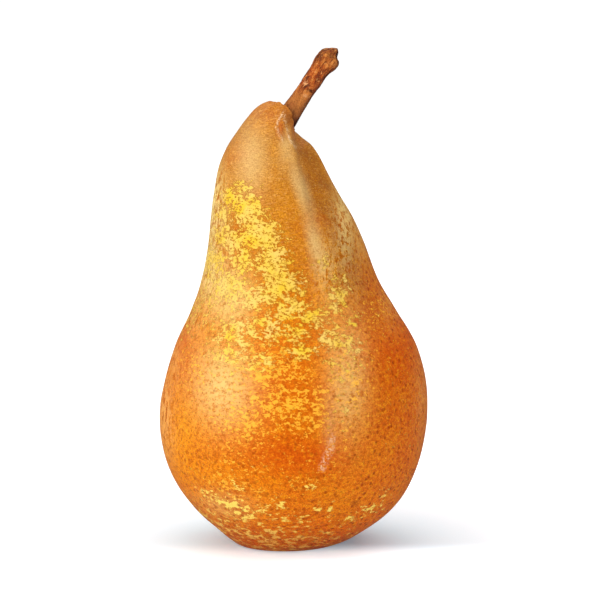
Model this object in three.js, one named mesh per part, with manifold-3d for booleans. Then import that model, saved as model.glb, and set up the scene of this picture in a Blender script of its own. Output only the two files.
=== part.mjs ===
// Fresh pear with a russet skin, standing on its base with the stem on top.
// Units are millimetres. Z is up, the pear's front faces -Y, +X is to its right.
// The origin is at the bottom centre of the box around the whole pear.
import * as THREE from 'three';
import Module from 'manifold-3d';

const wasm = await Module();
wasm.setup();

// Fit between the pieces
const GAP = 0.35;

// Mesh fineness
const FRUIT_SIDES = 64;
const FRUIT_STEP = 2.9;
const STEM_SIDES = 22;
const STEM_STEP = 1.8;

// Base: a flat ring to stand on, around the hollow that holds the calyx
const BASE_X = -3.3;
const BASE_Y = 0.4;
const RING_INNER = 8.0;
const RING_OUTER = 10.8;
const HOLLOW_DEPTH = 4.6;
const SEAT_RADIUS = 2.4;
const SEAT_TOP = 7.4;

// Stem: a straight line through this point, leaning to the right
const STEM_FOOT_X = -1.95;
const STEM_FOOT_Y = 0.6;
const STEM_FOOT_Z = 114.32;
const STEM_LEAN = THREE.MathUtils.degToRad(31.5);
const STEM_RADIUS = 2.75;
const ROOT_END = -4.2;

// Calyx: five dried sepals on a small cup
const SEPALS = 5;
const CUP_RADIUS = SEAT_RADIUS - GAP;
const SEPAL_THICK = 0.75;

// The origin moves to the middle of the pear's box by this much
const SHIFT_X = 0.128;
const SHIFT_Y = 0.06;

const TURN = 2 * Math.PI;

// Level row of the fruit: left and right edges at one height, and half the depth
const level = (left, right, z, halfDepth, y = 0) => [left, z, right, z, halfDepth, y];

// Level row of the base: a circle around the calyx
const ring = (radius, z) => level(BASE_X - radius, BASE_X + radius, z, radius, BASE_Y);

// Row square to the stem, at a distance along it
function acrossStem(along, off, radius, halfDepth = radius) {
  const ux = Math.sin(STEM_LEAN);
  const uz = Math.cos(STEM_LEAN);
  const x = STEM_FOOT_X + along * ux + off * uz;
  const z = STEM_FOOT_Z + along * uz - off * ux;
  return [x - radius * uz, z + radius * ux, x + radius * uz, z - radius * ux, halfDepth, STEM_FOOT_Y];
}

// Fruit rows from the seat of the calyx, over the flat ring, up the belly and neck,
// over the crown and down into the socket of the stem
const FRUIT_ROWS = [
  ring(0, SEAT_TOP),
  ring(SEAT_RADIUS - 0.1, SEAT_TOP),
  ring(SEAT_RADIUS, HOLLOW_DEPTH + 0.9),
  ring(3.6, HOLLOW_DEPTH + 0.1),
  ring(5.2, 2.9),
  ring(6.8, 0.8),
  ring(RING_INNER, 0),
  ring(RING_OUTER, 0),
  level(-15.7, 11.0, 0.35, 13.0, 0.3),
  level(-17.6, 14.8, 1.5, 16.0, 0.3),
  level(-21.0, 20.1, 4.5, 20.4, 0.2),
  level(-27.9, 27.7, 11.0, 27.8, 0.1),
  level(-34.0, 33.3, 20.8, 33.6),
  level(-36.0, 35.4, 29.0, 35.5),
  level(-36.2, 36.05, 37.0, 35.9),
  level(-34.4, 35.3, 46.7, 34.8),
  level(-31.7, 32.75, 54.8, 32.2),
  level(-27.9, 27.9, 63.0, 28.1),
  level(-25.15, 23.05, 71.1, 24.3),
  level(-22.95, 18.75, 82.4, 21.0),
  level(-22.3, 15.75, 88.9, 18.9),
  level(-21.5, 12.0, 95.3, 16.9),
  [-19.8, 103.3, 8.6, 101.6, 14.4, 0.0],
  [-17.6, 108.2, 6.5, 105.7, 12.0, 0.0],
  [-15.4, 111.5, 4.65, 108.2, 10.3, 0.1],
  [-12.8, 114.9, 2.95, 109.5, 8.6, 0.2],
  [-9.9, 117.9, 1.8, 110.4, 6.9, 0.3],
  [-7.6, 119.2, 1.05, 111.0, 5.4, 0.4],
  [-6.0, 119.5, 0.6, 111.3, 4.4, 0.5],
  [-5.3, 118.2, 0.4, 111.5, 3.7, 0.6],
  acrossStem(-0.8, 0, STEM_RADIUS + GAP),
  acrossStem(ROOT_END - 0.1, 0, STEM_RADIUS + GAP - 0.1),
  acrossStem(ROOT_END - 0.35, 0, STEM_RADIUS - 0.4),
  acrossStem(ROOT_END - 0.4, 0, 0),
];

// Stem rows: distance along, sideways offset and radius, then the slanted end
const STEM_ROWS = [
  acrossStem(ROOT_END, 0, 0),
  acrossStem(ROOT_END, 0, 1.9),
  acrossStem(ROOT_END + 0.6, 0, 2.55),
  acrossStem(-1.0, 0, 2.7),
  acrossStem(3.7, -0.15, STEM_RADIUS, 2.7),
  acrossStem(7.0, 0.0, 2.55, 2.5),
  acrossStem(10.3, 0.17, 2.45, 2.4),
  acrossStem(13.2, 0.32, 2.5, 2.4),
  acrossStem(16.0, 0.45, 2.55, 2.45),
  [5.15, 130.2, 10.7, 127.7, 2.65, 0.6],
  [6.3, 132.0, 11.75, 129.1, 2.75, 0.6],
  [7.2, 133.15, 11.95, 130.2, 2.5, 0.6],
  [8.2, 133.6, 11.5, 131.2, 2.0, 0.6],
  [9.0, 133.75, 11.85, 132.5, 1.5, 0.6],
  [9.9, 133.8, 11.55, 133.5, 0.8, 0.6],
  [10.8, 133.6, 10.8, 133.6, 0, 0.6],
];

// Smooth curve through the rows: tangents from the neighbours, weighted by distance
function rowSpacing(rows) {
  const at = [0];
  for (let i = 1; i < rows.length; i++) {
    const [a, b] = [rows[i - 1], rows[i]];
    const left = Math.hypot(b[0] - a[0], b[1] - a[1]);
    const right = Math.hypot(b[2] - a[2], b[3] - a[3]);
    const depth = Math.hypot(b[4] - a[4], (b[1] + b[3] - a[1] - a[3]) / 2);
    at.push(at[i - 1] + (left + right + 2 * depth) / 4);
  }
  return at;
}

function rowAt(rows, at, i, f) {
  const row = [];
  const span = at[i + 1] - at[i];
  for (let k = 0; k < rows[0].length; k++) {
    const slope = (j) => {
      if (j <= 0) return (rows[1][k] - rows[0][k]) / (at[1] - at[0]);
      const last = rows.length - 1;
      if (j >= last) return (rows[last][k] - rows[last - 1][k]) / (at[last] - at[last - 1]);
      const before = (rows[j][k] - rows[j - 1][k]) / (at[j] - at[j - 1]);
      const after = (rows[j + 1][k] - rows[j][k]) / (at[j + 1] - at[j]);
      const w = (at[j] - at[j - 1]) / (at[j + 1] - at[j - 1]);
      return before * (1 - w) + after * w;
    };
    const f2 = f * f;
    const f3 = f2 * f;
    row.push((2 * f3 - 3 * f2 + 1) * rows[i][k] + (f3 - 2 * f2 + f) * span * slope(i)
      + (3 * f2 - 2 * f3) * rows[i + 1][k] + (f3 - f2) * span * slope(i + 1));
  }
  return row;
}

// Closed skin through the rows. The first and the last row are single points.
function loft(rows, sides, step, place) {
  const at = rowSpacing(rows);
  const loops = [];
  for (let i = 0; i < rows.length - 1; i++) {
    const cuts = Math.max(1, Math.round((at[i + 1] - at[i]) / step));
    for (let c = 0; c < cuts; c++) {
      if (i + c > 0) loops.push({ row: rowAt(rows, at, i, c / cuts), index: i + c / cuts });
    }
  }
  const tip = (row) => [(row[0] + row[2]) / 2, row[5], (row[1] + row[3]) / 2];
  const points = [];
  points.push(...tip(rows[0]));
  for (const { row, index } of loops) {
    for (let s = 0; s < sides; s++) points.push(...place(row, index, (TURN * s) / sides));
  }
  points.push(...tip(rows[rows.length - 1]));
  const faces = [];
  const vertex = (loop, s) => 1 + loop * sides + (s % sides);
  const end = points.length / 3 - 1;
  for (let s = 0; s < sides; s++) {
    faces.push(0, vertex(0, s + 1), vertex(0, s));
    for (let r = 0; r < loops.length - 1; r++) {
      const [a, b] = [vertex(r, s), vertex(r, s + 1)];
      const [c, d] = [vertex(r + 1, s + 1), vertex(r + 1, s)];
      faces.push(a, b, c, a, c, d);
    }
    faces.push(end, vertex(loops.length - 1, s), vertex(loops.length - 1, s + 1));
  }
  const geometry = new THREE.BufferGeometry();
  geometry.setAttribute('position', new THREE.Float32BufferAttribute(points, 3));
  geometry.setIndex(faces);
  return geometry;
}

// Point of a row at an angle: 0 is right, a quarter turn is the back, half is left
function onRow(row, angle, swell = 1) {
  const [cx, cz] = [(row[0] + row[2]) / 2, (row[1] + row[3]) / 2];
  const [ax, az] = [(row[2] - row[0]) / 2, (row[3] - row[1]) / 2];
  const [c, s] = [Math.cos(angle) * swell, Math.sin(angle) * swell];
  return [cx + ax * c, row[5] + row[4] * s, cz + az * c];
}

// Bump that is 1 at the middle and falls to 0 at the half width
function bump(value, middle, halfWidth) {
  const d = Math.abs(value - middle) / halfWidth;
  return d < 1 ? Math.cos((d * Math.PI) / 2) ** 2 : 0;
}

function angleFrom(angle, degrees) {
  const d = angle - THREE.MathUtils.degToRad(degrees);
  return THREE.MathUtils.radToDeg(Math.atan2(Math.sin(d), Math.cos(d)));
}

// Fruit skin: faint lobes on the body, pleats in the calyx hollow,
// a raised lip in front of the stem and folds around it
function fruitPoint(row, index, angle) {
  const body = bump(index, 16, 9);
  const lobes = 0.007 * Math.sin(2 * angle + Math.PI) + 0.006 * Math.sin(3 * angle)
    + 0.004 * Math.sin(5 * angle);
  const pleats = 0.035 * bump(index, 4.6, 1.9) * Math.cos(9 * angle + 0.7);
  const groove = -0.065 * bump(index, 24.5, 5) * bump(angleFrom(angle, -29), 0, 24);
  const ridge = 0.03 * bump(index, 23.5, 5.5) * bump(angleFrom(angle, -58), 0, 22);
  const folds = 0.03 * bump(index, 27.2, 3) * Math.cos(8 * angle + 0.4 * Math.sin(3 * angle));
  const p = onRow(row, angle, 1 + lobes * body + pleats + groove + ridge + folds);
  const lip = 3.0 * bump(index, 27.9, 2.6) * bump(angleFrom(angle, 260), 0, 88);
  const lipTilt = THREE.MathUtils.degToRad(38.5);
  p[0] += lip * Math.cos(lipTilt);
  p[2] += lip * Math.sin(lipTilt);
  p[2] = Math.max(0, p[2]);
  return p;
}

// Stem bark: lengthwise ribs, a faint band across the middle, a knob at the end
function stemPoint(row, index, angle) {
  const free = bump(index, 9, 7);
  const ribs = 0.045 * free * Math.cos(6 * angle + 0.5 * Math.sin(0.9 * index));
  const band = 0.04 * bump(index, 6.6, 0.7);
  const knob = 0.1 * bump(index, 10.2, 1.4) * bump(angleFrom(angle, -40), 0, 50);
  const dent = -0.09 * bump(index, 11.6, 1.3) * bump(angleFrom(angle, -65), 0, 45);
  return onRow(row, angle, 1 + ribs + band + knob + dent);
}

// One dried sepal: springs from the cup, spreads and curls down, flat and pointed
function sepalGeometry(turn, reach, droop, twist) {
  const lengths = [0, 0.18, 0.4, 0.62, 0.82, 0.95, 1];
  const widths = [0.9, 1.35, 1.5, 1.2, 0.75, 0.4, 0.25];
  const sides = 8;
  const points = [];
  const spine = (t) => {
    const r = 0.9 + reach * Math.sin(t * 1.25) / Math.sin(1.25);
    const z = 4.3 - droop * t ** 1.6;
    return [r, z];
  };
  for (let i = 0; i < lengths.length; i++) {
    const t = lengths[i];
    const [r, z] = spine(t);
    const [r2, z2] = spine(t + 0.01);
    const slope = Math.atan2(z2 - z, r2 - r);
    for (let s = 0; s < sides; s++) {
      const a = (TURN * s) / sides;
      const wide = widths[i] * Math.cos(a);
      const thick = (SEPAL_THICK / 2) * Math.sin(a) + 0.22 * (wide / widths[i]) ** 2 * widths[i];
      const roll = twist * t;
      const across = wide * Math.cos(roll) - thick * Math.sin(roll);
      const up = wide * Math.sin(roll) + thick * Math.cos(roll);
      const out = r - up * Math.sin(slope);
      points.push([out, across, z + up * Math.cos(slope)]);
    }
  }
  const faces = [];
  const last = (lengths.length - 1) * sides;
  for (let s = 0; s < sides; s++) {
    const n = (s + 1) % sides;
    for (let i = 0; i < lengths.length - 1; i++) {
      const [a, b] = [i * sides + s, i * sides + n];
      faces.push(a, b, b + sides, a, b + sides, a + sides);
    }
    if (s > 0 && n > 0) {
      faces.push(0, n, s);
      faces.push(last, last + s, last + n);
    }
  }
  const cos = Math.cos(turn);
  const sin = Math.sin(turn);
  const flat = points.flatMap(([x, y, z]) => [
    BASE_X + x * cos - y * sin, BASE_Y + x * sin + y * cos, z]);
  const geometry = new THREE.BufferGeometry();
  geometry.setAttribute('position', new THREE.Float32BufferAttribute(flat, 3));
  geometry.setIndex(faces);
  return geometry;
}

// Cup of the calyx: a short plug with a dimple on its free end
function cupGeometry() {
  const rows = [
    ring(0, 4.0),
    ring(0.8, 3.9),
    ring(1.35, 3.3),
    ring(CUP_RADIUS - 0.2, 3.35),
    ring(CUP_RADIUS, 4.0),
    ring(CUP_RADIUS, SEAT_TOP - 0.8),
    ring(CUP_RADIUS - 0.4, SEAT_TOP - GAP),
    ring(0, SEAT_TOP - GAP),
  ];
  return loft(rows, 20, 2.5, (row, index, angle) => onRow(row, angle));
}

// Solid for joining, from a closed skin
function solid(geometry) {
  return new wasm.Manifold(new wasm.Mesh({
    numProp: 3,
    vertProperties: new Float32Array(geometry.attributes.position.array),
    triVerts: new Uint32Array(geometry.index.array),
  }));
}

function geometryOf(body) {
  const mesh = body.getMesh();
  const geometry = new THREE.BufferGeometry();
  geometry.setAttribute('position', new THREE.Float32BufferAttribute(mesh.vertProperties, 3));
  geometry.setIndex(Array.from(mesh.triVerts));
  return geometry;
}

function calyxGeometry() {
  let body = solid(cupGeometry());
  for (let i = 0; i < SEPALS; i++) {
    const turn = (TURN * (i + 0.15 * Math.sin(2.3 * i))) / SEPALS + 0.3;
    const reach = 3.7 + 0.5 * Math.sin(1.9 * i);
    const droop = 2.5 + 0.4 * Math.cos(2.7 * i);
    body = body.add(solid(sepalGeometry(turn, reach, droop, 0.5 * Math.sin(1.7 * i + 1))));
  }
  return geometryOf(body);
}

function piece(name, geometry, colour, roughness) {
  geometry.translate(SHIFT_X, SHIFT_Y, 0);
  geometry.computeVertexNormals();
  const material = new THREE.MeshStandardMaterial({ color: colour, roughness, metalness: 0 });
  material.name = `${name} surface`;
  const mesh = new THREE.Mesh(geometry, material);
  mesh.name = name;
  return mesh;
}

const pear = new THREE.Group();
pear.name = 'pear';
pear.add(piece('fruit', loft(FRUIT_ROWS, FRUIT_SIDES, FRUIT_STEP, fruitPoint), 0xd98a34, 0.45));
pear.add(piece('stem', loft(STEM_ROWS, STEM_SIDES, STEM_STEP, stemPoint), 0x8f4a22, 0.75));
pear.add(piece('calyx', calyxGeometry(), 0x4a3222, 0.85));

export default pear;
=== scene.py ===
import math

import bpy
import numpy as np
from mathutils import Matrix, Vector, noise


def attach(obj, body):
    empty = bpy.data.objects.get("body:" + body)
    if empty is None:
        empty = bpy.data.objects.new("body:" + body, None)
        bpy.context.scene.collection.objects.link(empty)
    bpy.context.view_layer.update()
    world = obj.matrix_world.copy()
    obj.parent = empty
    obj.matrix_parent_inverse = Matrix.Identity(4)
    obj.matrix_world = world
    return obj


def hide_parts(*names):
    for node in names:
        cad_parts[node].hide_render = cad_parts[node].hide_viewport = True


# Dressed pear: finer skins over the fruit, the stem and the calyx, on a plain pale floor in soft light
MM = 0.001
TURN = 2 * math.pi

# Base: a flat ring around the hollow of the calyx, in millimetres like all sizes of the pear
BASE_X, BASE_Y = -3.3, 0.4
RING_INNER, RING_OUTER = 8.0, 10.8
HOLLOW_DEPTH = 4.6
SEAT_RADIUS, SEAT_TOP = 2.4, 7.4
GAP = 0.35

# Stem: a straight line leaning to the right
STEM_FOOT = (-1.95, 0.6, 114.32)
STEM_LEAN = math.radians(31.5)
STEM_RADIUS = 2.75
STEM_LENGTH = 24
ROOT_END = -4.2
NICK_AT, NICK_HALF = 10.2, 0.6

# Crown: height of the body, raised lip in front of the stem, small facet on the lip
BODY_HEIGHT = 120
LIP_RISE = 3.0
LIP_TILT = math.radians(38.5)
FACET_X, FACET_Z, FACET_LEAN = -1.2, 116.0, 0.4

# Shift that puts the middle of the model's box at the origin
SHIFT = np.array([0.128, 0.06, 0.0])

# Points around each skin, and spacing of the rows along the stem and the cup of the calyx
FRUIT_SIDES, STEM_SIDES, CUP_SIDES = 384, 112, 48
STEM_STEP, CUP_STEP = 0.24, 0.35

# Numbers of dried sepals and stamens
SEPALS, STAMENS = 5, 11

# Camera: height of view, distance and aim in metres, lens and sensor
VIEW_UP = math.radians(8)
VIEW_FAR = 0.8
AIM = Vector((0.00173, 0.0, 0.0663))
LENS, SENSOR = 179.3, 36

# Stage, in metres: half side and height of the floor, height that the lights look at
FLOOR_HALF, FLOOR_Z = 1.2, -0.0001
LIGHT_AIM_Z = 0.06
WORLD_DIM, WORLD_SEEN = 0.1, 1.05


def level(left, right, z, half_depth, y=0.0):
    """A row at one height."""
    return [left, z, right, z, half_depth, y]


def ring(radius, z):
    """A round row about the middle of the base."""
    return level(BASE_X - radius, BASE_X + radius, z, radius, BASE_Y)


def across_stem(along, off, radius, half_depth=None):
    """A row square to the stem, at a distance along it from the foot and off its line."""
    ux, uz = math.sin(STEM_LEAN), math.cos(STEM_LEAN)
    x = STEM_FOOT[0] + along * ux + off * uz
    z = STEM_FOOT[2] + along * uz - off * ux
    depth = radius if half_depth is None else half_depth
    return [x - radius * uz, z + radius * ux, x + radius * uz, z - radius * ux, depth, STEM_FOOT[1]]


# Rows of the fruit: left edge x and z, right edge x and z, half depth, middle in Y
FRUIT_ROWS = [
    ring(0, SEAT_TOP),
    ring(SEAT_RADIUS - 0.1, SEAT_TOP),
    ring(SEAT_RADIUS, HOLLOW_DEPTH + 0.9),
    ring(3.6, HOLLOW_DEPTH + 0.1),
    ring(5.2, 2.9),
    ring(6.8, 0.8),
    ring(RING_INNER, 0),
    ring(RING_OUTER, 0),
    level(-15.7, 11.0, 0.35, 13.0, 0.3),
    level(-17.6, 14.8, 1.5, 16.0, 0.3),
    level(-21.0, 20.1, 4.5, 20.4, 0.2),
    level(-27.9, 27.7, 11.0, 27.8, 0.1),
    level(-34.0, 33.3, 20.8, 33.6),
    level(-36.0, 35.4, 29.0, 35.5),
    level(-36.2, 36.05, 37.0, 35.9),
    level(-34.4, 35.3, 46.7, 34.8),
    level(-31.7, 32.75, 54.8, 32.2),
    level(-27.9, 27.9, 63.0, 28.1),
    level(-25.15, 23.05, 71.1, 24.3),
    level(-22.95, 18.75, 82.4, 21.0),
    level(-22.3, 15.75, 88.9, 18.9),
    level(-21.5, 12.0, 95.3, 16.9),
    [-19.8, 103.3, 8.6, 101.6, 14.4, 0.0],
    [-17.6, 108.2, 6.5, 105.7, 12.0, 0.0],
    [-15.4, 111.5, 4.65, 108.2, 10.3, 0.1],
    [-12.8, 114.9, 2.95, 109.5, 8.6, 0.2],
    [-9.9, 117.9, 1.8, 110.4, 6.9, 0.3],
    [-7.6, 119.2, 1.05, 111.0, 5.4, 0.4],
    [-6.0, 119.5, 0.6, 111.3, 4.4, 0.5],
    [-5.3, 118.2, 0.4, 111.5, 3.7, 0.6],
    across_stem(-0.8, 0, STEM_RADIUS + GAP),
    across_stem(ROOT_END - 0.1, 0, STEM_RADIUS + GAP - 0.1),
    across_stem(ROOT_END - 0.35, 0, STEM_RADIUS - 0.4),
    across_stem(ROOT_END - 0.4, 0, 0),
]

# Numbers of the rows where the body, the crown and the socket start, and spacing of the fine rows on each
BODY_START, CROWN_START, SOCKET_START = 9, 23, 30
BASE_STEP, BODY_STEP, CROWN_STEP, SOCKET_STEP = 0.7, 1.1, 0.42, 0.8

# Rows of the stem, given in the same way
STEM_ROWS = [
    across_stem(ROOT_END, 0, 0),
    across_stem(ROOT_END, 0, 1.9),
    across_stem(ROOT_END + 0.6, 0, 2.55),
    across_stem(-1.0, 0, 2.7),
    across_stem(3.7, -0.15, STEM_RADIUS, 2.7),
    across_stem(7.0, 0.0, 2.55, 2.5),
    across_stem(10.3, 0.17, 2.45, 2.4),
    across_stem(13.2, 0.32, 2.5, 2.4),
    across_stem(16.0, 0.45, 2.55, 2.45),
    [5.15, 130.2, 10.7, 127.7, 2.65, 0.6],
    [6.3, 132.0, 11.75, 129.1, 2.75, 0.6],
    [7.2, 133.15, 11.95, 130.2, 2.5, 0.6],
    [8.2, 133.6, 11.5, 131.2, 2.0, 0.6],
    [9.0, 133.75, 11.85, 132.5, 1.5, 0.6],
    [9.9, 133.8, 11.55, 133.5, 0.8, 0.6],
    [10.8, 133.6, 10.8, 133.6, 0, 0.6],
]

# Marks on the front of the skin: x, height, half width, half height, strength
YELLOW = [
    (-16.4, 95.2, 3.8, 2.7, 1.0), (-13.6, 98.2, 3.2, 1.8, 0.9), (-12.0, 92.5, 4.5, 4.3, 1.15),
    (-18.5, 90.0, 3.0, 2.5, 0.95), (-8.6, 86.0, 4.8, 3.8, 1.2), (-16.6, 85.0, 4.8, 3.2, 1.08),
    (-22.0, 78.0, 4.3, 6.0, 0.8), (-13.1, 79.5, 3.8, 3.2, 0.95), (-5.9, 79.8, 4.8, 3.8, 1.05),
    (-3.2, 74.4, 4.8, 3.2, 1.0), (-16.6, 71.8, 4.8, 4.3, 1.0), (-10.5, 69.8, 4.3, 3.2, 0.9),
    (-6.5, 71.5, 4.0, 3.0, 0.95), (1.0, 73.0, 2.5, 3.0, 0.6), (-1.1, 67.6, 4.3, 3.2, 0.9),
    (4.8, 65.4, 4.8, 2.4, 0.85), (-29.2, 62.0, 3.5, 4.0, 0.6), (-25.0, 67.0, 4.0, 5.0, 0.6),
    (-14.5, 61.5, 7.5, 4.8, 0.7), (-7.0, 63.0, 4.8, 4.2, 0.75), (0.0, 61.5, 5.0, 3.0, 0.6),
    (-10.0, 55.0, 6.0, 3.0, 0.6), (8.3, 79.5, 2.7, 2.2, 0.6), (11.0, 70.5, 3.0, 4.5, 0.7),
    (10.6, 59.6, 5.0, 2.2, 0.85), (2.5, 57.2, 6.5, 1.9, 0.75), (15.5, 64.0, 3.0, 3.5, 0.45),
    (9.8, 54.6, 2.6, 1.8, 0.65), (-17.0, 55.0, 5.0, 4.0, 0.65), (16.0, 56.5, 3.0, 3.0, 0.5),
    (12.5, 50.0, 2.5, 5.0, 0.4), (12.0, 42.0, 2.5, 3.0, 0.35),
]
LOW = [
    (-20.4, 17.6, 3.2, 2.2, 1.05), (-16.6, 16.0, 3.4, 2.2, 1.15), (-13.2, 13.6, 3.5, 2.4, 1.1),
    (-3.2, 16.7, 2.5, 2.5, 0.85), (1.6, 13.2, 3.0, 1.6, 0.9), (-3.7, 12.7, 3.0, 1.5, 0.75),
    (11.6, 10.8, 2.5, 1.5, 0.85), (9.4, 15.3, 1.0, 2.0, 0.9), (6.2, 15.3, 1.0, 1.8, 0.9),
    (4.3, 22.3, 2.2, 0.9, 0.9), (-24.5, 20.5, 2.0, 2.0, 0.7), (-9.5, 11.0, 3.5, 1.6, 0.8),
    (-14.5, 21.0, 2.5, 2.5, 0.8), (14.5, 11.5, 3.0, 1.6, 0.8), (19.5, 13.5, 3.5, 2.2, 0.85),
    (24.0, 17.5, 2.2, 2.2, 0.7), (-7.6, 16.2, 2.4, 1.6, 0.8),
]
AMBER = [
    (-7.0, 53.0, 11.0, 6.0, 0.9), (-2.0, 44.0, 11.0, 6.0, 0.9), (2.5, 41.0, 7.0, 4.5, 0.85),
    (-13.0, 39.0, 8.0, 7.0, 0.8), (-12.0, 28.0, 9.0, 4.0, 0.5), (14.5, 51.0, 5.0, 7.0, 0.75),
    (12.0, 36.0, 4.0, 5.0, 0.5), (-16.0, 22.0, 8.0, 4.0, 0.7), (3.0, 24.0, 6.0, 4.0, 0.5),
    (-24.0, 50.0, 6.0, 6.0, 0.6), (22.0, 66.0, 4.0, 5.0, 0.5),
]
RED = [
    (0.3, 31.0, 12.0, 5.0, 0.75), (28.0, 55.0, 9.0, 9.0, 0.65), (20.0, 67.0, 5.0, 7.0, 0.4),
    (-30.5, 54.5, 3.5, 7.0, 0.7), (-34.0, 44.0, 2.5, 8.0, 0.5), (-3.5, 113.0, 0.8, 1.8, 0.5),
    (-6.0, 116.5, 3.0, 2.5, 0.15), (30.0, 36.0, 8.0, 12.0, 0.4), (-3.0, 46.0, 8.0, 8.0, 0.4),
]
GOLD = [
    (-29.0, 34.0, 6.0, 10.0, 1.0), (-23.0, 25.0, 10.0, 6.0, 0.8), (-16.0, 58.0, 6.0, 6.0, 0.6),
    (-18.0, 15.0, 9.0, 5.0, 0.7),
]
# Pale patches of skin with painted highlights on them
PALE_AND_HIGHLIGHT_MARKS = [
    (-18.5, 48.0, 6.0, 7.5, 0.85), (13.8, 50.0, 3.8, 10.0, 0.58), (-18.0, 15.5, 5.0, 3.0, 0.4),
    (-17.0, 69.0, 4.5, 6.0, 0.65), (10.5, 66.0, 3.0, 5.0, 0.15),
]
# Painted highlights on the neck, and a faint pale strip above the scuff
SHINE = [(-11.3, 104.5, 3.2, 7.0, 0.7), (-1.9, 107.5, 1.8, 3.5, 0.5), (9.2, 38.5, 1.3, 4.5, 0.35)]
CREAM = [
    (-21.8, 92.0, 2.6, 9.0, 1.0), (-22.8, 76.0, 3.2, 9.0, 1.0), (-27.5, 64.0, 3.5, 5.0, 0.8),
    (-17.5, 70.0, 4.0, 5.0, 0.5), (-34.5, 38.0, 2.2, 12.0, 0.85), (-32.5, 52.0, 2.4, 6.0, 0.7),
    (34.6, 44.0, 2.2, 15.0, 0.38), (26.0, 66.0, 3.0, 5.0, 0.3), (13.5, 92.0, 2.2, 12.0, 0.6),
    (17.5, 88.0, 2.5, 8.0, 0.3), (8.5, 77.0, 2.6, 6.0, 0.4), (15.0, 72.0, 4.0, 6.0, 0.15),
]

# Marks on the rest of the skin: angle, height, half width in degrees, half height, strength
YELLOW_ROUND = [
    (170, 82, 20, 22, 0.9), (150, 74, 20, 14, 0.8), (112, 62, 26, 11, 0.75), (84, 84, 18, 10, 0.6),
    (60, 46, 26, 9, 0.5), (28, 70, 14, 14, 0.35), (100, 13, 50, 5, 0.7), (160, 22, 20, 8, 0.5),
    (30, 12, 30, 4, 0.5), (135, 40, 18, 8, 0.35),
]
AMBER_ROUND = [
    (150, 50, 26, 12, 0.8), (95, 46, 22, 10, 0.7), (40, 56, 22, 12, 0.6), (120, 26, 30, 8, 0.7),
    (10, 30, 20, 8, 0.4),
]
RED_ROUND = [(10, 50, 30, 14, 0.7), (80, 34, 30, 9, 0.9), (150, 52, 16, 10, 0.6)]
GOLD_ROUND = [(165, 36, 24, 12, 0.9), (110, 48, 22, 9, 0.6), (45, 30, 20, 8, 0.5)]
CREAM_ROUND = [(170, 88, 16, 10, 0.7), (120, 76, 16, 10, 0.5), (60, 100, 20, 10, 0.4)]

# Lines on the front of the skin as (x, height) points
CREASE_LEFT = [(-2.9, 117.0), (-4.2, 114.8), (-4.6, 113.4), (-4.0, 111.7), (-2.9, 109.9)]
CREASE_RIGHT = [(-2.7, 116.4), (-2.2, 114.5), (-1.7, 112.0), (-1.1, 109.9), (0.6, 107.9)]
CREASES = [(CREASE_LEFT, 0.5), (CREASE_RIGHT, 0.45)]
# Painted highlight streak down the ridge of the neck
HIGHLIGHT_STREAK = [(-2.2, 108.5), (0.2, 102.5), (2.2, 97), (4.0, 91), (5.4, 84), (6.6, 78)]
# Painted shade along the lip, beside the stem's foot
LIP = [(-2.0, 117.6), (-0.9, 115.4), (0.5, 112.2)]
SCUFF = [(9.9, 35.0), (9.3, 32.0), (7.8, 28.8), (7.4, 27.5)]
RIDGE = [(-0.6, 111.2), (0.3, 107.5), (1.0, 104.0), (2.2, 99.0), (3.6, 92.0), (5.5, 84.0)]

# Middle of a small bruise, and how fast all marks fade from their middle
BRUISE_X, BRUISE_Z = 15.9, 16.4
FADE = 0.6


# Numbers
def bump(value, middle, half_width):
    """1 at the middle, falling smoothly to 0 at the half width."""
    d = np.abs(value - middle) / half_width
    return np.where(d < 1, np.cos(np.minimum(d, 1) * math.pi / 2) ** 2, 0.0)


def ease(value, low, high):
    """0 at low and 1 at high, smooth between them; low may be the larger one."""
    t = np.clip((value - low) / (high - low), 0, 1)
    return t * t * (3 - 2 * t)


def from_angle(angle, degrees):
    """Degrees from a direction about the pear, -180 to 180; 0 is right and -90 is in front."""
    d = angle - math.radians(degrees)
    return np.degrees(np.arctan2(np.sin(d), np.cos(d)))


def around(sides):
    """Angles of the points around a skin, as one row of a grid."""
    return np.linspace(0, TURN, sides, endpoint=False)[None, :]


def fuzz(points, scale, seed=0.0):
    """Smooth noise from -1 to 1 at points in millimetres."""
    flat = points.reshape(-1, 3) * scale + seed
    values = [noise.noise(Vector(p)) for p in flat]
    return np.array(values).reshape(points.shape[:-1])


def marks(x, z, front, angle, faced, turned=()):
    """Strength of soft oval marks, some placed on the front and some by angle."""
    total = np.zeros_like(z)
    for x0, z0, wide, tall, strength in faced:
        d = ((x - x0) / wide) ** 2 + ((z - z0) / tall) ** 2
        total = np.maximum(total, front * strength * np.exp(-FADE * d))
    for degrees, z0, wide, tall, strength in turned:
        d = (from_angle(angle, degrees) / wide) ** 2 + ((z - z0) / tall) ** 2
        total = np.maximum(total, strength * np.exp(-FADE * d))
    return total


def near_line(x, z, line, width):
    """1 on a broken line of (x, z) points, falling to 0 at the width."""
    best = np.full(x.shape, 1e9)
    for (x1, z1), (x2, z2) in zip(line, line[1:]):
        dx, dz = x2 - x1, z2 - z1
        t = np.clip(((x - x1) * dx + (z - z1) * dz) / (dx * dx + dz * dz), 0, 1)
        best = np.minimum(best, np.hypot(x - x1 - t * dx, z - z1 - t * dz))
    return bump(best, 0, width)


def on_creases(x, z):
    """1 on the creases of the crown, falling to 0 beside them."""
    return sum(near_line(x, z, line, width) for line, width in CREASES)


# Skins through rows
def row_spacing(rows):
    """Place of each row along the skin, from the mean of its sides and depth."""
    at = [0.0]
    for a, b in zip(rows, rows[1:]):
        left = math.hypot(b[0] - a[0], b[1] - a[1])
        right = math.hypot(b[2] - a[2], b[3] - a[3])
        depth = math.hypot(b[4] - a[4], (b[1] + b[3] - a[1] - a[3]) / 2)
        at.append(at[-1] + (left + right + 2 * depth) / 4)
    return at


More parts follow.
